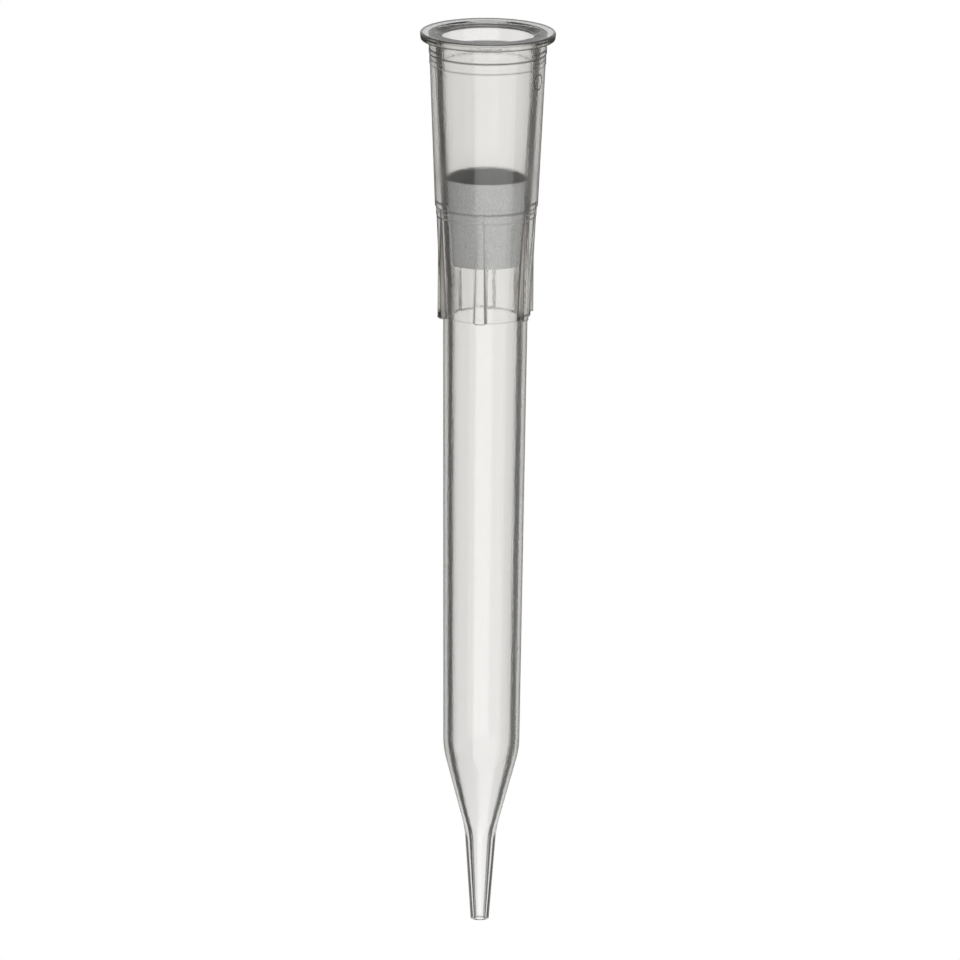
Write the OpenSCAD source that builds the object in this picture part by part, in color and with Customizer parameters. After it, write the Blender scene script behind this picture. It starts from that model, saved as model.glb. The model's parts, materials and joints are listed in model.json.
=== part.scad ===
// Filtered pipette tip, 200 microlitre class, universal fit.
// Two pieces: the moulded polypropylene tip and the porous filter plug pressed into its socket.
// The tip stands on its rim with the nozzle up, so a height is a depth into the tip from its mouth.
// The bore is drawn first and the outside follows it by named walls.

/* [Overall] */
// Length from the rim to the nozzle end, mm
tip_length = 53; // [44:0.1:64]
// Depth of the ledge that sits on a rack plate, mm
ledge_depth = 16.7; // [13.5:0.1:20.5]
// Length of the nozzle, from the neck to the end, mm
nozzle_length = 5.5; // [4:0.1:7]
// Length of the cone between the barrel and the neck, mm
cone_length = 4.8; // [3.5:0.1:6]

/* [Socket] */
// Diameter of the straight land at the mouth, where a pipette's nozzle enters, mm
socket_d = 5.33; // [4.4:0.01:6.4]
// Length of the straight land, mm
socket_land = 1.3; // [0.8:0.05:2]
// Depth of the lead-in at the rim, mm
lead_in_depth = 0.21; // [0.1:0.01:0.5]
// Width of the lead-in, on the radius, mm
lead_in_width = 0.385; // [0.2:0.005:0.5]
// Length of the sealing taper below the land, mm
seal_length = 2.55; // [2:0.05:4]
// Half-angle of the sealing taper, degrees
seal_taper = 1.9; // [0.5:0.05:3]
// Length of the taper between the seal and the filter's seat, mm
throat_length = 4.25; // [3:0.05:6]
// Half-angle of that taper, degrees
throat_taper = 2.95; // [1:0.05:4]

/* [Filter and its seat] */
// Length of the filter's seat, mm
seat_length = 6.5; // [5.4:0.1:8]
// Half-angle of the filter's seat, degrees
seat_taper = 3.87; // [2:0.01:5]
// Distance from the start of the seat to the filter's top face, mm
filter_inset = 0.15; // [0:0.05:0.5]
// Filter length, mm
filter_length = 5.1; // [4.2:0.1:6.2]
// Gap left between the filter and its seat, on the radius, mm
filter_gap = 0.01; // [0.005:0.005:0.03]

/* [Barrel and nozzle bore] */
// Half-angle of the barrel's bore, degrees
barrel_taper = 0.37; // [0.2:0.01:0.6]
// Bore diameter at the neck, mm
neck_bore_d = 1; // [0.8:0.01:1.2]
// Diameter of the orifice, mm
orifice_d = 0.49; // [0.4:0.01:0.6]
// Distance from the bore's shoulder down to the outside shoulder, mm
shoulder_offset = 0.2; // [0:0.05:0.5]
// Distance from the outside neck down to the bore's neck, mm
neck_offset = 0.4; // [0:0.05:0.8]
// Radius that blends the barrel's bore into its cone, mm
shoulder_bore_blend = 4.5; // [1:0.5:5]
// Radius that blends the bore's cone into the nozzle, mm
neck_bore_blend = 6; // [1:0.5:7]

/* [Walls] */
// Wall of the collar, at the land, mm
collar_wall = 0.74; // [0.5:0.01:0.9]
// Wall of the socket where the ribs start, mm
socket_wall = 0.745; // [0.5:0.005:0.9]
// Wall of the barrel at the ledge, mm
barrel_wall = 0.53; // [0.4:0.01:0.7]
// Wall of the barrel at the shoulder, mm
shoulder_wall = 0.47; // [0.35:0.01:0.6]
// Wall at the neck, mm
neck_wall = 0.425; // [0.3:0.005:0.5]
// Wall at the nozzle end, mm
nozzle_wall = 0.285; // [0.2:0.005:0.35]

/* [Rim flange] */
// How far the flange stands out from the collar, on the radius, mm
flange_width = 0.53; // [0.3:0.005:0.7]
// Flange thickness, mm
flange_thickness = 0.44; // [0.3:0.02:0.8]
// Draft of the flange edge: how much narrower its lower edge is, on the radius, mm
flange_draft = 0.06; // [0:0.01:0.1]
// Rounding of the flange's upper edge, mm
flange_round = 0.12; // [0.04:0.01:0.2]
// Rounding of the flange's lower edge, mm
flange_under_round = 0.06; // [0.02:0.01:0.1]

/* [Collar lines] */
// Depth of the first ring line, where the collar steps in, mm
collar_depth = 1.23; // [0.9:0.01:1.6]
// Step in at the first ring line, on the radius, mm
collar_step = 0.04; // [0.01:0.005:0.08]
// Height of the band between the first and second ring lines, mm
band_height = 0.61; // [0.4:0.01:1]
// Step in at the second ring line, on the radius, mm
band_step = 0.03; // [0.01:0.005:0.06]

/* [Ribs and ledge] */
// Number of ribs round the socket wall
rib_count = 6; // [3:1:8]
// Length of the ribs, up from the ledge to the third ring line, mm
rib_length = 6.5; // [5:0.1:8]
// Rib height at the ledge, on the radius, mm
rib_height = 0.335; // [0.2:0.005:0.5]
// How far below the wall's surface the rib crests start, mm
rib_sink = 0.02; // [0.01:0.005:0.04]
// Rib width where it starts, mm
rib_width_start = 0.36; // [0.2:0.02:0.5]
// Rib width at the ledge, mm
rib_width_end = 0.62; // [0.4:0.02:0.9]
// Turn of the first rib from +X, degrees
rib_turn = -23.4; // [-30:0.1:30]
// Step in at the third ring line, on the radius, mm
rib_start_step = 0.055; // [0.02:0.005:0.08]
// Distance from the third to the fourth ring line, mm
fine_line_drop = 0.55; // [0.3:0.05:1]
// Step in at the fourth ring line, on the radius, mm
fine_line_step = 0.02; // [0.01:0.005:0.04]
// Width of the ledge, on the radius, mm
ledge_width = 0.16; // [0.1:0.01:0.3]

/* [Outside blends] */
// Radius that blends the barrel into the cone, mm
shoulder_blend = 5; // [1:0.5:6]
// Radius that blends the cone into the nozzle, mm
neck_blend = 6.5; // [1:0.5:7]

/* [Hidden] */
$fn = 96;
spare = 1; // how far a solid that cuts or is cut runs on past the cut

// A profile point: half a diameter out, at a depth from the rim.
function at(d, depth) = [d / 2, depth];
// The point on the line from a through b that is further along by some depth, or back if that is negative.
function run_on(a, b, further) = b + (b - a) * further / (b[1] - a[1]);
// How much a bore narrows, on the diameter, over a length at a half-angle.
function narrowing(length, taper) = 2 * length * tan(taper);
// Points on the arc of radius r that rounds the corner b of the path a, b, c.
function blend(a, b, c, r, steps) =
    let (
        u = (a - b) / norm(a - b),
        w = (c - b) / norm(c - b),
        half = acos(u * w) / 2,
        sweep = 180 - 2 * half,
        centre = b + (u + w) / norm(u + w) * r / sin(half),
        first = b + u * r / tan(half) - centre,
        last = b + w * r / tan(half) - centre
    )
    [
        for (i = [0:steps])
            centre + (first * sin(sweep * (1 - i / steps)) + last * sin(sweep * i / steps)) / sin(sweep)
    ];

// Depths, from the rim to the nozzle
land_depth = lead_in_depth + socket_land;
seal_depth = land_depth + seal_length;
seat_depth = seal_depth + throat_length;
seat_end_depth = seat_depth + seat_length;
band_depth = collar_depth + band_height;
rib_start_depth = ledge_depth - rib_length;
fine_line_depth = rib_start_depth + fine_line_drop;
neck_depth = tip_length - nozzle_length;
shoulder_depth = neck_depth - cone_length;
shoulder_bore_depth = shoulder_depth - shoulder_offset;
neck_bore_depth = neck_depth + neck_offset;

// The bore, as its diameter at each depth down to its shoulder
seal_end_d = socket_d - narrowing(seal_length, seal_taper);
seat_d = seal_end_d - narrowing(throat_length, throat_taper);
barrel_bore_d = seat_d - narrowing(seat_length, seat_taper);
shoulder_bore_d = barrel_bore_d - narrowing(shoulder_bore_depth - seat_end_depth, barrel_taper);
bore = [
    [lead_in_depth, socket_d],
    [land_depth, socket_d],
    [seal_depth, seal_end_d],
    [seat_depth, seat_d],
    [seat_end_depth, barrel_bore_d],
    [shoulder_bore_depth, shoulder_bore_d]
];
lead_in_d = socket_d + 2 * lead_in_width;

// The outside, from the bore and the walls
collar_d = socket_d + 2 * collar_wall;
flange_d = collar_d + 2 * flange_width;
band_d = collar_d - 2 * collar_step;
taper_d = band_d - 2 * band_step;
taper_end_d = lookup(rib_start_depth, bore) + 2 * socket_wall;
shell_d = taper_end_d - 2 * rib_start_step;
barrel_d = lookup(ledge_depth, bore) + 2 * barrel_wall;
ledge_d = barrel_d + 2 * ledge_width;
fine_d = lookup(fine_line_depth, [[rib_start_depth, shell_d], [ledge_depth, ledge_d]]);
crest_d = ledge_d + 2 * rib_height;
crest_start_d = taper_end_d - 2 * rib_sink;
nozzle_end_d = orifice_d + 2 * nozzle_wall;

rim_corner = at(flange_d, 0);
under_corner = at(flange_d - 2 * flange_draft, flange_thickness);
fine_line_end = at(fine_d - 2 * fine_line_step, fine_line_depth + fine_line_step);
shoulder = at(shoulder_bore_d + 2 * shoulder_wall, shoulder_depth);
neck = at(neck_bore_d + 2 * neck_wall, neck_depth);
bore_shoulder = at(shoulder_bore_d, shoulder_bore_depth);
bore_neck = at(neck_bore_d, neck_bore_depth);

// The outside in two profiles: the socket's runs on past the ledge, where it is cut off flat
// together with the ribs, and the barrel's starts inside the socket's.
socket_outside = concat(
    [[0, 0]],
    blend([0, 0], rim_corner, under_corner, flange_round, 6),
    blend(rim_corner, under_corner, at(collar_d, flange_thickness), flange_under_round, 4),
    [
        at(collar_d, flange_thickness),
        at(collar_d, collar_depth),
        at(band_d, collar_depth + collar_step),
        at(band_d, band_depth),
        at(taper_d, band_depth + band_step),
        at(taper_end_d, rib_start_depth),
        at(shell_d, rib_start_depth + rib_start_step),
        at(fine_d, fine_line_depth),
        fine_line_end,
        run_on(fine_line_end, at(ledge_d, ledge_depth), spare),
        [0, ledge_depth + spare]
    ]
);
barrel_outside = concat(
    [[0, ledge_depth - spare], run_on(shoulder, at(barrel_d, ledge_depth), -spare)],
    blend(at(barrel_d, ledge_depth), shoulder, neck, shoulder_blend, 6),
    blend(shoulder, neck, at(nozzle_end_d, tip_length), neck_blend, 4),
    [at(nozzle_end_d, tip_length), [0, tip_length]]
);
inside = concat(
    [[0, -spare], at(lead_in_d, -spare), at(lead_in_d, 0)],
    [for (b = bore) if (b[0] < shoulder_bore_depth) at(b[1], b[0])],
    blend(at(barrel_bore_d, seat_end_depth), bore_shoulder, bore_neck, shoulder_bore_blend, 6),
    blend(bore_shoulder, bore_neck, at(orifice_d, tip_length), neck_bore_blend, 4),
    [at(orifice_d, tip_length), at(orifice_d, tip_length + spare), [0, tip_length + spare]]
);

// One rib: a wedge that widens towards the ledge and runs on past it, cut back to the crest's
// own taper. It starts a little before the third ring line, where the crest lies inside the wall.
module rib() {
    start_depth = rib_start_depth - fine_line_drop / 2;
    side_start = [rib_width_start / 2, start_depth];
    side_end = run_on(side_start, [rib_width_end / 2, ledge_depth], spare);
    crest_start = at(crest_start_d, start_depth);
    crest_end = run_on(crest_start, at(crest_d, ledge_depth), spare);
    intersection() {
        rotate([90, 0, 90]) linear_extrude(height = flange_d / 2)
            polygon([[-side_start[0], start_depth], side_start, side_end, [-side_end[0], side_end[1]]]);
        rotate_extrude() polygon([[0, start_depth], crest_start, crest_end, [0, crest_end[1]]]);
    }
}

// The outside of the socket with its ribs, cut off flat at the ledge.
module ribbed_socket() {
    difference() {
        union() {
            rotate_extrude() polygon(socket_outside);
            for (i = [0:rib_count - 1]) rotate([0, 0, rib_turn + i * 360 / rib_count]) rib();
        }
        translate([0, 0, ledge_depth]) cylinder(h = 2 * spare, d = flange_d);
    }
}

module tip_body() {
    color([0.86, 0.87, 0.87, 0.5])
    difference() {
        union() {
            ribbed_socket();
            rotate_extrude() polygon(barrel_outside);
        }
        rotate_extrude() polygon(inside);
    }
}

module filter_plug() {
    top_depth = seat_depth + filter_inset;
    end_depth = top_depth + filter_length;
    color([0.66, 0.66, 0.66])
    translate([0, 0, top_depth])
        cylinder(
            h = filter_length,
            d1 = lookup(top_depth, bore) - 2 * filter_gap,
            d2 = lookup(end_depth, bore) - 2 * filter_gap
        );
}

tip_body();
filter_plug();
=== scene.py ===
"""A filtered pipette tip that stands on its rim: the moulded tip, and the porous plug in its socket.

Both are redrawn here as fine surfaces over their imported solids. Shapes are worked out in
millimetres, as radii at depths from the rim, and become metres when their mesh is made.
"""

import json
import math

import bpy
import numpy as np
from mathutils import Matrix, Vector


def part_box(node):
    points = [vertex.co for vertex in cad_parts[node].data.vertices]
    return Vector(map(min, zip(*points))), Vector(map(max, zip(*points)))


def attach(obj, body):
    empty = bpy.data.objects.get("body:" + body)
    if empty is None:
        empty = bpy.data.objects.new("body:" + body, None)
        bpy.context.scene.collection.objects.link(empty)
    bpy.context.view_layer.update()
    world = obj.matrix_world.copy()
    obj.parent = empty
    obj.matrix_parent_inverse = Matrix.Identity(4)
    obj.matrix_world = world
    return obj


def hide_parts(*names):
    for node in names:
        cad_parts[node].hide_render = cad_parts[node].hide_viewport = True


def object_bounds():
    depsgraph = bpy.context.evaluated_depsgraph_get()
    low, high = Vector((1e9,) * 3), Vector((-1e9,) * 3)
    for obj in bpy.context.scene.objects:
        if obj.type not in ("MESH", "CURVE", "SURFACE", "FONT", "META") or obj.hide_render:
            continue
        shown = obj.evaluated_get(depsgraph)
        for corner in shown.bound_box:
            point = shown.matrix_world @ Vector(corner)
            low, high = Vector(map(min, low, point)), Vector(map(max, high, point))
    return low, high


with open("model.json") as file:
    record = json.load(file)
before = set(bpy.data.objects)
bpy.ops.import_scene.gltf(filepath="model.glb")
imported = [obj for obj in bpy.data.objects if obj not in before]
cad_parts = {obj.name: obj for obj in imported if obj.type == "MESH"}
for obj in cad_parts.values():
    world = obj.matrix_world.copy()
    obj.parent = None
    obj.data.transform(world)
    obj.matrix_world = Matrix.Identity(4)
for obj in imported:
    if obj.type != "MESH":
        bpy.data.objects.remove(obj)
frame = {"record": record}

MM = 0.001

# ---------------------------------------------------------------- sizes from the frame

cad_low, cad_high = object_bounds()
plug_low, plug_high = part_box("filter_plug")
mounts = {mount["name"]: mount for mount in frame["record"]["mounts"]}

tip_length = cad_high.z / MM
ledge_depth = mounts["rack_ledge"]["pos_m"][2] / MM
socket_r = mounts["socket"]["dims"]["r_mm"]
plug_top = plug_low.z / MM
plug_end = plug_high.z / MM
plug_r = plug_high.x / MM

# ---------------------------------------------------------------- sizes of the moulding, mm

lead_in = (0.385, 0.21)          # width and depth of the chamfer at the mouth
land_depth = 1.51
seal_depth, seal_taper = 4.06, 1.9
seat_depth, throat_taper = 8.31, 2.95
seat_end_depth, seat_taper = 14.81, 3.87
barrel_taper = 0.37
bore_shoulder_depth = 42.5
bore_neck = (0.5, 47.9)          # radius and depth
orifice_r = 0.245

collar_r, collar_depth = 3.405, 1.23
flange_reach, flange_thickness, flange_draft = 0.53, 0.44, 0.06
flange_r = collar_r + flange_reach
collar_step = 0.04
band_depth, band_step = 1.84, 0.03
rib_start_depth, rib_start_step = 10.2, 0.055
fine_line_depth, fine_line_step = 10.75, 0.02
socket_end_r = 2.975             # where the ribs start
ledge_r, barrel_r = 2.6, 2.44
shoulder = (2.21, 42.7)
neck = (0.925, 47.5)
nozzle_end_r = 0.53

rib_count = 6
rib_turn = -23.4                 # of the first rib from +X, degrees
rib_height = 0.335
rib_crest_start_r = 2.954
rib_half_widths = (0.19, 0.31)   # where it starts, and at the ledge
rib_corner = 0.11                # rounding of the crest's edges
rib_draft = 0.02
rib_root = 0.03                  # fillet along the foot of the rib

mark_depth, mark_turn = 2.65, -152.5   # a ring-shaped mark of the mould on the socket, degrees from +X
mark_r, mark_line = 0.44, 0.1          # its radius, and the width of the line


def narrowed(radius, length, half_angle):
    """The radius less length times the tangent of the half-angle."""
    return radius - length * math.tan(math.radians(half_angle))


seal_end_r = narrowed(socket_r, seal_depth - land_depth, seal_taper)
seat_r = narrowed(seal_end_r, seat_depth - seal_depth, throat_taper)
barrel_bore_r = narrowed(seat_r, seat_end_depth - seat_depth, seat_taper)
bore_shoulder_r = narrowed(barrel_bore_r, bore_shoulder_depth - seat_end_depth, barrel_taper)


def between(depth, near, far):
    """The radius at a depth on the straight line through two (radius, depth) points."""
    return near[0] + (far[0] - near[0]) * (depth - near[1]) / (far[1] - near[1])


shell_start = (socket_end_r - rib_start_step, rib_start_depth + rib_start_step)
fine_r = between(fine_line_depth, shell_start, (ledge_r, ledge_depth))

# The wall's section as corners (radius, depth, rounding, edge shade): outside from the mouth to the
# nozzle, then up the bore. The edge shade is painted shade: how strongly the colour at that edge is
# darkened, and its surface dulled, for the light the edge turns aside.
wall_corners = np.array([
    (socket_r + lead_in[0], 0, 0.03, 0),
    (flange_r, 0, 0.12, 0.36),
    (flange_r - flange_draft, flange_thickness, 0.06, 0.9),
    (collar_r, flange_thickness, 0.04, 0.15),
    (collar_r, collar_depth, 0.02, 0.9),
    (collar_r - collar_step, collar_depth + collar_step, 0.02, 0.9),
    (collar_r - collar_step, band_depth, 0.015, 0.5),
    (collar_r - collar_step - band_step, band_depth + band_step, 0.015, 0.5),
    (socket_end_r, rib_start_depth, 0.02, 0.6),
    (*shell_start, 0.02, 0.6),
    (fine_r, fine_line_depth, 0.01, 0),
    (fine_r - fine_line_step, fine_line_depth + fine_line_step, 0.01, 0),
    (ledge_r, ledge_depth, 0.04, 0.25),
    (barrel_r, ledge_depth, 0.04, 0.06),
    (*shoulder, 5, 0),
    (*neck, 6.5, 0),
    (nozzle_end_r, tip_length, 0.03, 0.25),
    (orifice_r, tip_length, 0.02, 0.2),
    (*bore_neck, 6, 0),
    (bore_shoulder_r, bore_shoulder_depth, 4.5, 0),
    (barrel_bore_r, seat_end_depth, 2, 0),
    (seat_r, seat_depth, 2, 0),
    (seal_end_r, seal_depth, 2, 0),
    (socket_r, land_depth, 1, 0),
    (socket_r, lead_in[1], 0.04, 0),
])
LEDGE_CORNER = 12                # its row above

socket_start = (collar_r - collar_step - band_step, band_depth)
mark_on_r = between(mark_depth, socket_start, (socket_end_r, rib_start_depth))
mark_centre = Matrix.Rotation(math.radians(mark_turn), 3, "Z") @ Vector((mark_on_r, 0, mark_depth)) * MM

# ---------------------------------------------------------------- finish of the moulding, and its painted edge shade

# Satin is roughness. An edge shade, from 0 to 1, is painted shade where an edge turns light aside:
# it makes the colour there darker and the surface rougher. Grain is the strength of the fine relief.
# Lengths are in mm.
socket_satin, shell_satin, barrel_satin, bore_satin = 0.03, 0.06, 0.11, 0.1
rim_satin, rim_reach = 0.08, 0.1               # down to this depth
nozzle_satin, nozzle_start_depth = 0.04, neck[1] - 1
fine_line_satin, fine_line_reach = 0.5, 0.06   # to either side of the line
plug_ring_satin, plug_ring_reach = 0.1, 1.2    # added in the bore round the plug's top
crest_satin, rib_side_satin = 0.1, 0.32
foot_share, crest_share = 0.01, 0.97           # of the rib's height: the side lies between them
rib_end_satin, rib_end_reach = 0.5, 0.9        # of the rib's sides at the ledge, and over this length
# Painted edge shade over the rib's end at the ledge, and along its foot below.
rib_end_shade, rib_end_share = 0.4, 0.25      # it fades out over this share of the rib's height
foot_shade_shares = (0.4, 0.9)                # of the rib's full height, where it starts and is full
# Painted shade on the mould's ring mark, which is real.
mark_shade = 0.9
# Roughness added where an edge has its full painted shade.
edge_shade_satin = 0.3                             # added by a full crease
outside_grain, bore_grain = 0.2, 0.7

# ---------------------------------------------------------------- surfaces


def rounded(corners, steps=6, holds=(0.03, 0.08), longest=1.2):
    """A closed path through (x, y, rounding, edge shade) corners with an arc at each, and its painted edge
    shades.

    The arc's centre lies on the bisector at radius / sin(half the corner's angle), and its points
    divide the sweep evenly. A straight run keeps a point at each hold's length from its ends, or
    at even shares where it is short, so that shading stays flat between them, and is divided
    evenly where it is longer than longest. An edge shade, painted shade for the light the edge
    turns aside, is full on its arc and gone at the second hold; a short run between two shaded
    edges has their mean."""
    points, radii, painted_edge_shades = corners[:, :2], corners[:, 2], corners[:, 3]
    back = np.roll(points, 1, axis=0) - points
    ahead = np.roll(points, -1, axis=0) - points
    back /= np.linalg.norm(back, axis=1)[:, None]
    ahead /= np.linalg.norm(ahead, axis=1)[:, None]
    half = np.arccos(np.clip((back * ahead).sum(1), -1, 1)) / 2
    bisector = (back + ahead) / np.linalg.norm(back + ahead, axis=1)[:, None]
    centres = points + bisector * (radii / np.sin(half))[:, None]
    first = points + back * (radii / np.tan(half))[:, None] - centres
    last = points + ahead * (radii / np.tan(half))[:, None] - centres
    t = np.linspace(0, 1, steps + 1)[None, :, None]
    sweep = (np.pi - 2 * half)[:, None, None]
    swung = first[:, None] * np.sin(sweep * (1 - t)) + last[:, None] * np.sin(sweep * t)
    arcs = centres[:, None] + swung / np.sin(sweep)
    path, path_edge_shades = [], []
    for i, arc in enumerate(arcs):
        start, end = arc[-1], arcs[(i + 1) % len(arcs)][0]
        here, there = painted_edge_shades[i], painted_edge_shades[(i + 1) % len(arcs)]
        length = np.linalg.norm(end - start)
        near, far = holds if length > 3 * holds[1] else (length / 5, length * 2 / 5)
        middle = np.linspace(far, length - far, 2 + int(length / longest))
        stops = np.concatenate([[near], middle, [length - near]])
        from_start = np.clip(1 - stops / holds[1], 0, 1) * here
        from_end = np.clip(1 - (length - stops) / holds[1], 0, 1) * there
        fade = from_start + from_end
        if length < 2 * holds[1]:
            fade = np.full(len(stops), (here + there) / 2)
        path += [arc, start + (end - start) * (stops / length)[:, None]]
        path_edge_shades += [np.full(steps + 1, here), fade]
    return np.concatenate(path), np.concatenate(path_edge_shades)


def grid_mesh(name, points, material, close_rows=False, **attributes):
    """A mesh over a grid of points, rows by columns by xyz, in millimetres. The columns close on
    themselves. The rows do too where the section is closed, and otherwise each end row is filled
    by one flat face. A face joins the points (row, column), (row, column + 1) and the same two in
    the next row. Each attribute has one number a point."""
    rows, columns = points.shape[:2]
    index = np.arange(rows * columns).reshape(rows, columns)
    lower = index if close_rows else index[:-1]
    upper = np.roll(index, -1, axis=0) if close_rows else index[1:]
    faces = np.stack([lower, np.roll(lower, -1, axis=1), np.roll(upper, -1, axis=1), upper], axis=-1)
    faces = faces.reshape(-1, 4).tolist()
    if not close_rows:
        faces += [index[0, ::-1].tolist(), index[-1].tolist()]
    mesh = bpy.data.meshes.new(name)
    mesh.from_pydata(points.reshape(-1, 3) * MM, [], faces)
    for key, values in attributes.items():
        attribute = mesh.attributes.new(key, "FLOAT", "POINT")
        attribute.data.foreach_set("value", values.ravel().astype(np.float32))
    mesh.materials.append(material)
    mesh.shade_smooth()
    piece = bpy.data.objects.new(name, mesh)
    bpy.context.scene.collection.objects.link(piece)
    return piece


def rib_section(crest_steps=3, corner_steps=5, side_steps=2, root_steps=3):
    """Half a rib's section at the ledge, from the middle of the crest to the foot.

    Returns three arrays over its points: the share of the flat crest, how far past the flat crest's
    edge the point lies, in mm, and its height as a share of the rib's. The flat crest is followed
    by a quarter circle, a drafted side and a quarter circle the other way."""
    crest = np.linspace(0, 1, crest_steps + 1)
    corner = np.linspace(0, np.pi / 2, corner_steps + 1)[1:]
    side = np.linspace(0, 1, side_steps + 1)[1:]
    root = np.linspace(0, np.pi / 2, root_steps + 1)[1:]
    share = np.concatenate([crest, np.ones(corner_steps + side_steps + root_steps)])
    past = np.concatenate([
        np.zeros_like(crest),
        rib_corner * np.sin(corner),
        rib_corner + rib_draft * side,
        rib_corner + rib_draft + rib_root * (1 - np.cos(root)),
    ])
    corner_top = rib_corner * (1 - np.cos(corner))
    side_fall = (rib_height - rib_corner - rib_root) * side
    drop = np.concatenate([
        np.zeros_like(crest),
        corner_top,
        rib_corner + side_fall,
        rib_height - rib_root + rib_root * np.sin(root),
    ])
    return share, past, 1 - drop / rib_height


def rib_rows(r, z, outside):
    """For each row of the wall's section: how far a rib's crest stands out past the wall, what the
    ledge's rounded edge takes off its half width, and whether the row is on the ledge.

    The crest is a straight line along the rib, and its height falls to nothing on the ledge."""
    ledge_edge = wall_corners[LEDGE_CORNER, 2]
    straight_r = between(z, shell_start, (ledge_r, ledge_depth))
    crest_r = between(z, (rib_crest_start_r, rib_start_depth), (ledge_r + rib_height, ledge_depth))
    on_shell = outside & (z > rib_start_depth) & (z < ledge_depth - ledge_edge)
    height = np.where(on_shell, np.clip(crest_r - r, 0, None), 0)
    on_ledge = outside & (z >= ledge_depth - ledge_edge) & (z <= ledge_depth + 1e-6) & (r > barrel_r)
    flat = (r - barrel_r - ledge_edge) / (ledge_r - barrel_r - 2 * ledge_edge)
    height = np.where(on_ledge, rib_height * np.clip(flat, 0, 1), height)
    inset = np.where(on_ledge, np.clip(straight_r - r, 0, ledge_edge), 0)
    return height, inset, on_ledge


def tip_finish(z, outside, has_rib, raises):
    """The tip's roughness and the strength of its grain, over rows by columns.

    A row is at depth z, on the outside or in the bore, and has_rib says whether the ribs stand on
    it. A column's share of the rib's height is in raises. The collar and nozzle are polished, and
    the rest is more satin. The ribs have no grain and are duller, above all at their ends."""
    row_satin = np.where(z < ledge_depth, shell_satin, barrel_satin)
    row_satin = np.where(z < rib_start_depth, socket_satin, row_satin)
    row_satin = np.where(outside, row_satin, bore_satin)
    on_fine_line = outside & (np.abs(z - fine_line_depth) < fine_line_reach)
    row_satin = np.where(on_fine_line, fine_line_satin, row_satin)
    row_satin = np.where(z > nozzle_start_depth, nozzle_satin, row_satin)
    row_satin = np.where(z < rim_reach, rim_satin, row_satin)
    plug_ring = plug_ring_satin * np.exp(-((z - plug_top) / plug_ring_reach) ** 2)
    row_satin = np.where(outside, row_satin, row_satin + plug_ring)

    ribbed = has_rib[:, None] * (raises > foot_share)
    below_crest = ribbed * (raises <= crest_share)
    rib_satin = np.where(raises > crest_share, crest_satin, rib_side_satin) * ribbed
    towards_end = np.clip(1 - (ledge_depth - z) / rib_end_reach, 0, 1) * (z <= ledge_depth)
    satin = np.maximum(row_satin[:, None], rib_satin)
    satin = np.maximum(satin, rib_end_satin * towards_end[:, None] * below_crest)
    row_grain = np.where(outside | (z > nozzle_start_depth), outside_grain, bore_grain)
    return satin, row_grain[:, None] * (1 - ribbed)


def tip_surface(material, gap_steps=20):
    """The moulded tip: the closed wall section swept round the axis, with the ribs raised on it.

    A row is a point of the section, at radius r and depth z. A column is a point of a rib's
    section or of the wall between two ribs. Across a rib the wall point stands at
    asin(across / r) from the rib's middle and is raised by the rib's height times the section's
    share, along the middle's own radius. Between ribs the angles run evenly from foot to foot."""
    section, row_edge_shade = rounded(wall_corners)
    r, z = section[:, 0], section[:, 1]
    outside = np.arange(len(r)) < np.argmax(z)
    height, inset, on_ledge = rib_rows(r, z, outside)

    along = np.clip((z - rib_start_depth) / (ledge_depth - rib_start_depth), 0, 1)
    along = np.where(outside, along, 0)
    half_width = rib_half_widths[0] + (rib_half_widths[1] - rib_half_widths[0]) * along - inset
    share, past, raised = rib_section()
    across = share * (half_width[:, None] - rib_corner) + past
    turning_r = np.where(outside & (z < ledge_depth), r, ledge_r)
    angle = np.arcsin(across / turning_r[:, None])

    pitch = 2 * np.pi / rib_count
    between_ribs = np.linspace(0, 1, gap_steps + 1)[1:-1]
    foot = angle[:, -1:]
    gap = foot + (pitch - 2 * foot) * between_ribs
    angles = np.concatenate([-angle[:, :0:-1], angle, gap], axis=1)
    profile = np.concatenate([raised[:0:-1], raised, np.zeros(gap_steps - 1)])
    lift = height[:, None] * profile

    first = math.radians(rib_turn)
    middles = first + pitch * np.arange(rib_count)
    whole = angles[:, None, :] + middles[None, :, None]
    x = r[:, None, None] * np.cos(whole) + lift[:, None, :] * np.cos(middles)[None, :, None]
    y = r[:, None, None] * np.sin(whole) + lift[:, None, :] * np.sin(middles)[None, :, None]
    depth = np.broadcast_to(z[:, None, None], x.shape)
    points = np.stack([x, y, depth], axis=-1).reshape(len(r), -1, 3)

    # Painted shade: the colour is darkened along the rib's foot where the rib stands high enough, and over
    # its end on the ledge, for the light these edges turn aside.
    foot_edge = np.clip((past - rib_corner - rib_draft) / (rib_root / 2), 0, 1)
    stands = np.clip(height / rib_height, 0, 1)[:, None]
    start, full = foot_shade_shares
    foot_shade = foot_edge * np.clip((stands - start) / (full - start), 0, 1)
    rib_end_painted_shade = on_ledge[:, None] * np.clip(raised / rib_end_share, 0, 1) * rib_end_shade
    rib_edge_shade = np.maximum(foot_shade, rib_end_painted_shade)
    rib_edge_shade = np.concatenate([rib_edge_shade[:, :0:-1], rib_edge_shade, np.zeros((len(r), gap_steps - 1))], axis=1)
    crease = np.maximum(row_edge_shade[:, None], np.tile(rib_edge_shade, rib_count))
    satin, grain = tip_finish(z, outside, height > 0, np.tile(profile, rib_count))
    return grid_mesh("clear_tip", points, material, close_rows=True, crease=crease, satin=satin, grain=grain)


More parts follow.
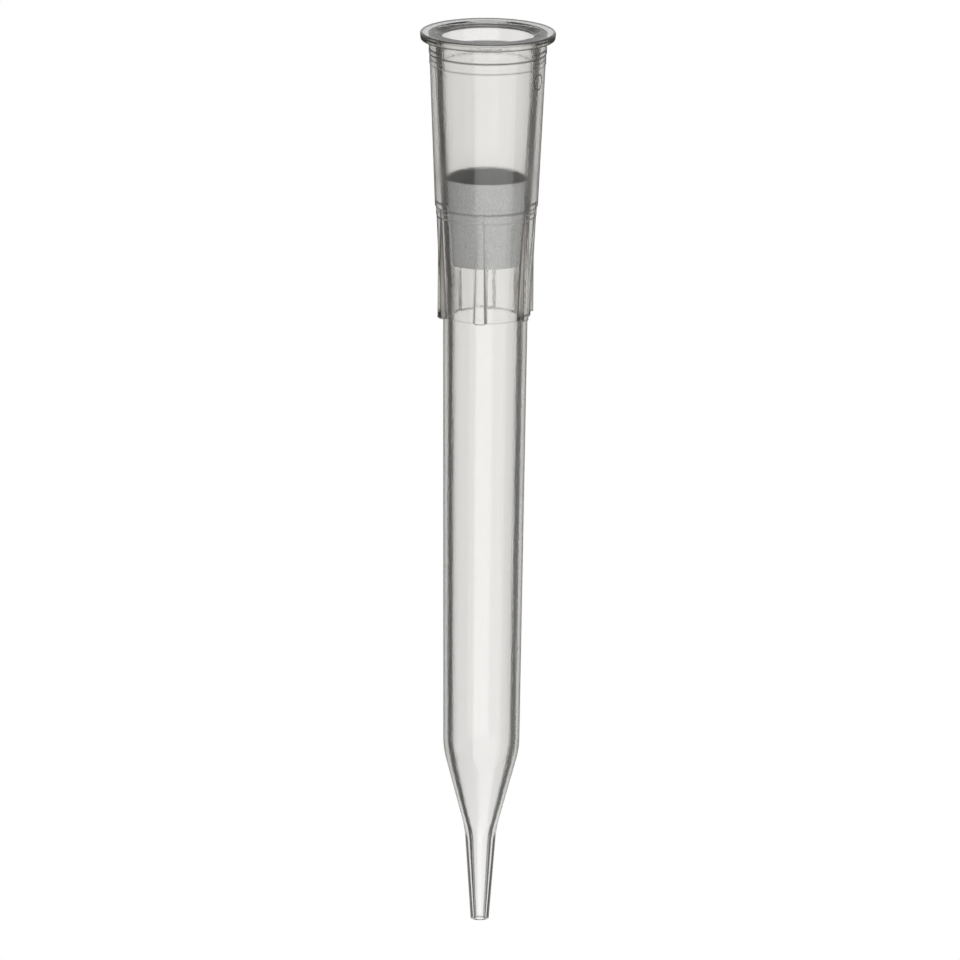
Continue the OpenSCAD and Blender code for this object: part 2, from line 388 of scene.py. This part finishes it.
def plug_surface(material, edge=0.07, face_steps=7, corner_steps=5, side_steps=11, columns=192):
    """The filter plug: a drafted cylinder with rounded edges, swept round the axis.

    Its section runs from near the middle of the top face out, down the side and back in."""
    end_r = plug_r - (plug_end - plug_top) * math.tan(math.radians(seat_taper))
    face = np.linspace(0.02, 1, face_steps + 1)[:-1]
    corner = np.linspace(0, np.pi / 2, corner_steps + 1)
    r = np.concatenate([
        face * (plug_r - edge),
        plug_r - edge + edge * np.sin(corner),
        np.linspace(plug_r, end_r, side_steps + 1)[1:-1],
        end_r - edge + edge * np.cos(corner),
        face[::-1] * (end_r - edge),
    ])
    z = np.concatenate([
        np.full(face_steps, plug_top),
        plug_top + edge - edge * np.cos(corner),
        np.linspace(plug_top + edge, plug_end - edge, side_steps + 1)[1:-1],
        plug_end - edge + edge * np.sin(corner),
        np.full(face_steps, plug_end),
    ])
    turn = np.arange(columns) * 2 * np.pi / columns
    points = np.stack([
        r[:, None] * np.cos(turn),
        r[:, None] * np.sin(turn),
        np.broadcast_to(z[:, None], (len(z), columns)),
    ], axis=-1)
    return grid_mesh("porous_plug", points, material)


# ---------------------------------------------------------------- materials


def new_tree(holder):
    """An empty node tree on a material or world."""
    holder.use_nodes = True
    holder.node_tree.nodes.clear()
    return holder.node_tree


def add(tree, kind, settings=None, **inputs):
    """A node with its settings and its input sockets filled: a socket in them is linked, a value is set."""
    made = tree.nodes.new(kind)
    for key, value in (settings or {}).items():
        setattr(made, key, value)
    for key, value in inputs.items():
        socket = made.inputs[int(key[1:])] if key[1:].isdigit() else made.inputs[key.replace("_", " ")]
        if isinstance(value, bpy.types.NodeSocket):
            tree.links.new(value, socket)
        else:
            socket.default_value = value
    return made


def calc(tree, operation, *values):
    """The result of a Math node on sockets and numbers."""
    inputs = {f"_{i}": value for i, value in enumerate(values)}
    return add(tree, "ShaderNodeMath", {"operation": operation}, **inputs).outputs[0]


def ramp(tree, value, start, end, low=0.0, high=1.0, interpolation="SMOOTHSTEP"):
    """A value mapped from start and end to low and high, and held at them outside."""
    made = add(
        tree, "ShaderNodeMapRange", {"interpolation_type": interpolation},
        Value=value, From_Min=start, From_Max=end, To_Min=low, To_Max=high,
    )
    return made.outputs[0]


def mixed_colour(tree, share, first, second):
    """The colour between two, which is the second at a share of 1."""
    made = add(tree, "ShaderNodeMix", {"data_type": "RGBA"}, _0=share)
    made.inputs[6].default_value = (*first, 1)
    made.inputs[7].default_value = (*second, 1)
    return made.outputs[2]


def mixed_shader(tree, share, first, second):
    """The shader between two, which is the second at a share of 1."""
    return add(tree, "ShaderNodeMixShader", _0=share, _1=first, _2=second).outputs[0]


def clear_polypropylene():
    """Clear moulded polypropylene: polished at the collar and more satin below and in the bore,
    with a fine orange peel and drawn streaks. Its edges and the mould's ring mark carry painted
    shade, darker for the light they turn aside, and are duller. Light from a lamp or a matt surface
    passes straight through, with a small loss."""
    material = bpy.data.materials.new("clear_polypropylene")
    tree = new_tree(material)
    place = add(tree, "ShaderNodeTexCoord").outputs["Object"]
    crease = add(tree, "ShaderNodeAttribute", {"attribute_name": "crease"}).outputs["Fac"]
    satin = add(tree, "ShaderNodeAttribute", {"attribute_name": "satin"}).outputs["Fac"]
    grain = add(tree, "ShaderNodeAttribute", {"attribute_name": "grain"}).outputs["Fac"]

    # The mould's ring mark is real; its darkening, like that of the edges, is painted shade, mixed into the
    # colour towards near black.
    reach = add(tree, "ShaderNodeVectorMath", {"operation": "DISTANCE"}, _0=place)
    reach.inputs[1].default_value = mark_centre
    mark = calc(tree, "COMPARE", reach.outputs["Value"], mark_r * MM, mark_line * MM / 2)
    edge = calc(tree, "MAXIMUM", crease, calc(tree, "MULTIPLY", mark, mark_shade))
    roughness = calc(tree, "MULTIPLY_ADD", edge, edge_shade_satin, satin)
    painted_shade_tint = mixed_colour(tree, edge, (1, 1, 1), (0.02, 0.02, 0.02))

    # Noise scales are per metre, so a grain is about a tenth of a millimetre.
    peel = add(tree, "ShaderNodeTexNoise", Vector=place, Scale=8000.0, Detail=1.0)
    drawn = add(tree, "ShaderNodeMapping", Vector=place, Scale=(1, 1, 0.05))
    streak = add(tree, "ShaderNodeTexNoise", Vector=drawn.outputs[0], Scale=6000.0, Detail=2.0)
    relief = calc(tree, "ADD", peel.outputs["Fac"], streak.outputs["Fac"])
    bump = add(tree, "ShaderNodeBump", Strength=grain, Distance=0.008 * MM, Height=relief)

    plastic = add(
        tree, "ShaderNodeBsdfPrincipled",
        Base_Color=painted_shade_tint, Roughness=roughness, IOR=1.49, Transmission_Weight=1.0, Normal=bump.outputs[0],
    )
    see_through = add(tree, "ShaderNodeBsdfTransparent", Color=(0.95, 0.95, 0.95, 1))
    path = add(tree, "ShaderNodeLightPath")
    to_matt = mixed_shader(tree, path.outputs["Is Diffuse Ray"], plastic.outputs[0], see_through.outputs[0])
    surface = mixed_shader(tree, path.outputs["Is Shadow Ray"], to_matt, see_through.outputs[0])
    haze = add(tree, "ShaderNodeVolumeAbsorption", Color=(0.518, 0.488, 0.42, 1), Density=330.0)
    add(tree, "ShaderNodeOutputMaterial", Surface=surface, Volume=haze.outputs[0])
    return material


def porous_polyethylene():
    """Sintered plug material, near white, with its colour painted grey for the shade it sits in inside the
    tip: dull, with a fine grain.
    """
    material = bpy.data.materials.new("porous_polyethylene")
    tree = new_tree(material)
    place = add(tree, "ShaderNodeTexCoord").outputs["Object"]
    grain = add(tree, "ShaderNodeTexNoise", Vector=place, Scale=12000.0, Detail=2.0).outputs["Fac"]
    # Painted shade: the near-white plug is coloured grey for the shade inside the tip, and the grain varies
    # the grey at random.
    shade = mixed_colour(tree, grain, (0.33, 0.335, 0.341), (0.85, 0.863, 0.873))
    bump = add(tree, "ShaderNodeBump", Strength=0.3, Distance=0.05 * MM, Height=grain)
    grit = add(
        tree, "ShaderNodeBsdfPrincipled",
        Base_Color=shade, Roughness=0.9, Normal=bump.outputs[0],
    )
    add(tree, "ShaderNodeOutputMaterial", Surface=grit.outputs[0])
    return material


def pale_floor(glow_share=0.6):
    """The floor: pale from above, partly glowing and partly matt to keep the object's shadow, and
    nothing at all to a camera below it. Light that has met something matt finds it dark, so that
    none comes up into the open mouth."""
    material = bpy.data.materials.new("pale_floor")
    tree = new_tree(material)
    path = add(tree, "ShaderNodeLightPath")
    shade = mixed_colour(tree, path.outputs["Is Diffuse Ray"], (0.8, 0.8, 0.8), (0.3, 0.3, 0.3))
    matt = add(tree, "ShaderNodeBsdfDiffuse", Color=shade)
    glow = add(tree, "ShaderNodeEmission", Color=(1, 1, 1, 1), Strength=1.0)
    nothing = add(tree, "ShaderNodeBsdfTransparent")
    bounced = calc(tree, "MAXIMUM", path.outputs["Is Glossy Ray"], path.outputs["Is Transmission Ray"])
    seen = calc(tree, "MAXIMUM", path.outputs["Is Camera Ray"], bounced)
    lit = calc(tree, "MULTIPLY", seen, glow_share)
    from_above = mixed_shader(tree, lit, matt.outputs[0], glow.outputs[0])
    below = add(tree, "ShaderNodeNewGeometry").outputs["Backfacing"]
    from_below = calc(tree, "MULTIPLY", path.outputs["Is Camera Ray"], below)
    floor = mixed_shader(tree, from_below, from_above, nothing.outputs[0])
    add(tree, "ShaderNodeOutputMaterial", Surface=floor)
    return material


def dark_shade(turns=2.5):
    """Painted shade: a dark matt surface to light that has turned more times than this, and nothing to the
    rest.
    """
    material = bpy.data.materials.new("dark_shade")
    tree = new_tree(material)
    path = add(tree, "ShaderNodeLightPath")
    turned = calc(tree, "GREATER_THAN", path.outputs["Ray Depth"], turns)
    nothing = add(tree, "ShaderNodeBsdfTransparent")
    matt = add(tree, "ShaderNodeBsdfDiffuse", Color=(0.05, 0.05, 0.05, 1))
    shown = mixed_shader(tree, turned, nothing.outputs[0], matt.outputs[0])
    add(tree, "ShaderNodeOutputMaterial", Surface=shown)
    return material


# ---------------------------------------------------------------- studio


def studio_world():
    """White to the camera. To other rays it is a dark room with a white band along the horizon.
    Rays that pass through the tip or leave something matt also find a white panel behind the
    object and greyer walls at its sides, under a dark lid."""
    world = bpy.data.worlds.new("studio")
    bpy.context.scene.world = world
    tree = new_tree(world)
    place = add(tree, "ShaderNodeTexCoord").outputs["Generated"]
    level = add(tree, "ShaderNodeVectorMath", {"operation": "MULTIPLY"}, _0=place)
    level.inputs[1].default_value = (1, 1, 0)
    heading = add(tree, "ShaderNodeVectorMath", {"operation": "NORMALIZE"}, _0=level.outputs[0])
    around = add(tree, "ShaderNodeSeparateXYZ", Vector=heading.outputs[0])
    rise = add(tree, "ShaderNodeSeparateXYZ", Vector=place).outputs["Z"]

    panel_fade, side_fade = (34, 22), (60, 75)   # degrees from +Y, and from the Y axis either way
    lid_fade, band_fade = (32, 28), (8, 4)       # degrees above the horizon
    panel = ramp(tree, around.outputs["Y"], *np.cos(np.radians(panel_fade)))
    across = calc(tree, "ABSOLUTE", around.outputs["X"])
    sides = ramp(tree, across, *np.sin(np.radians(side_fade)), high=0.55)
    lid = ramp(tree, rise, *np.sin(np.radians(lid_fade)))
    walls = calc(tree, "MULTIPLY", calc(tree, "MAXIMUM", panel, sides), lid)
    path = add(tree, "ShaderNodeLightPath")
    direct = calc(tree, "MAXIMUM", path.outputs["Is Transmission Ray"], path.outputs["Is Diffuse Ray"])
    band = ramp(tree, rise, *np.sin(np.radians(band_fade)))
    white = calc(tree, "MAXIMUM", calc(tree, "MULTIPLY", walls, direct), band)
    dusk = ramp(tree, around.outputs["X"], -1.0, 1.0, low=0.15, high=0.08, interpolation="LINEAR")
    room = ramp(tree, white, 0.0, 1.0, low=dusk, high=0.92, interpolation="LINEAR")
    shown = calc(tree, "MAXIMUM", room, path.outputs["Is Camera Ray"])
    light = add(tree, "ShaderNodeBackground", Color=(1, 1, 1, 1), Strength=shown)
    add(tree, "ShaderNodeOutputWorld", Surface=light.outputs[0])


def soft_box(heading, distance, height, width, tall, radiance):
    """A rectangular lamp that faces the object from a heading, in degrees from -Y towards -X."""
    turn = math.radians(heading)
    back = Vector((-math.sin(turn), -math.cos(turn), 0))
    data = bpy.data.lights.new("soft_box", "AREA")
    data.shape = "RECTANGLE"
    data.size = width
    data.size_y = tall
    data.energy = radiance * math.pi * width * tall
    lamp = bpy.data.objects.new("soft_box", data)
    lamp.location = back * distance + Vector((0, 0, height))
    lamp.rotation_mode = "QUATERNION"
    lamp.rotation_quaternion = back.to_track_quat("Z", "Y")
    lamp.visible_camera = False
    bpy.context.scene.collection.objects.link(lamp)
    return lamp


def floor_sheet(reach=3.0, gap=0.00002):
    """A square floor, a hair below the rim."""
    corners = [(-reach, -reach, -gap), (reach, -reach, -gap), (reach, reach, -gap), (-reach, reach, -gap)]
    mesh = bpy.data.meshes.new("floor")
    mesh.from_pydata(corners, [], [(0, 1, 2, 3)])
    mesh.materials.append(pale_floor())
    floor = bpy.data.objects.new("floor", mesh)
    bpy.context.scene.collection.objects.link(floor)


def painted_shade_ring(inner=0.0024, outer=0.004, depth=0.00001, sides=96):
    """A dark ring under the rim, painted shade round the open mouth. It shows only to light that
    has turned at least three times in the tip, so that the rim itself stays clear.
    Its points are the two circles, and each face joins a side of one to the same side of the other."""
    turn = np.arange(sides) * 2 * np.pi / sides
    radii = np.array([inner, outer])[:, None]
    x, y = radii * np.cos(turn), radii * np.sin(turn)
    points = np.stack([x, y, np.full(x.shape, -depth)], axis=-1).reshape(-1, 3)
    near = np.arange(sides)
    far = near + sides
    faces = np.stack([near, far, np.roll(far, -1), np.roll(near, -1)], axis=-1)
    mesh = bpy.data.meshes.new("card")
    mesh.from_pydata(points, [], faces.tolist())
    mesh.materials.append(dark_shade())
    card = bpy.data.objects.new("card", mesh)
    card.visible_camera = False
    card.visible_diffuse = False
    card.visible_glossy = False
    card.visible_shadow = False
    bpy.context.scene.collection.objects.link(card)


def product_camera():
    """A long lens that looks at the middle of the tip from the mouth's side, so it stands below
    the floor and shows the mouth upwards. Its frame is its right, its up and its back."""
    rise = math.radians(13.94)
    roll = math.radians(0.54)
    distance = 0.7064
    aside, down = 0.0002205, 0.000084
    back = Vector((0, -math.cos(rise), -math.sin(rise)))
    right = Vector((-1, 0, 0))
    up = back.cross(right)
    rolled_right = math.cos(roll) * right + math.sin(roll) * up
    rolled_up = math.cos(roll) * up - math.sin(roll) * right
    middle = Vector((0, 0, tip_length * MM / 2))
    data = bpy.data.cameras.new("camera")
    data.lens = 456.5
    data.sensor_width = 36
    data.clip_start = 0.01
    data.clip_end = 20
    camera = bpy.data.objects.new("camera", data)
    turned = Matrix((rolled_right, rolled_up, back)).transposed().to_4x4()
    place = middle + back * distance - rolled_right * aside - rolled_up * down
    camera.matrix_world = Matrix.Translation(place) @ turned
    bpy.context.scene.collection.objects.link(camera)
    bpy.context.scene.camera = camera


# ---------------------------------------------------------------- the scene

tip = tip_surface(clear_polypropylene())
plug = plug_surface(porous_polyethylene())
pieces = (
    (tip, "tip_body", "clear_polypropylene"),
    (plug, "filter_plug", "porous_polyethylene"),
)
for piece, node, slot in pieces:
    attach(piece, "root")
    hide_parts(node)

studio_world()
soft_box(heading=17, distance=0.6, height=0.41, width=1.15, tall=0.61, radiance=1.7)
fill = soft_box(heading=-5, distance=1.2, height=0.4, width=2.0, tall=0.8, radiance=1.68)
fill.visible_glossy = False
fill.visible_transmission = False
floor_sheet()
# Painted shade: a dark ring under the rim, seen only through the tip.
painted_shade_ring()
product_camera()

scene = bpy.context.scene
scene.view_settings.view_transform = "Standard"
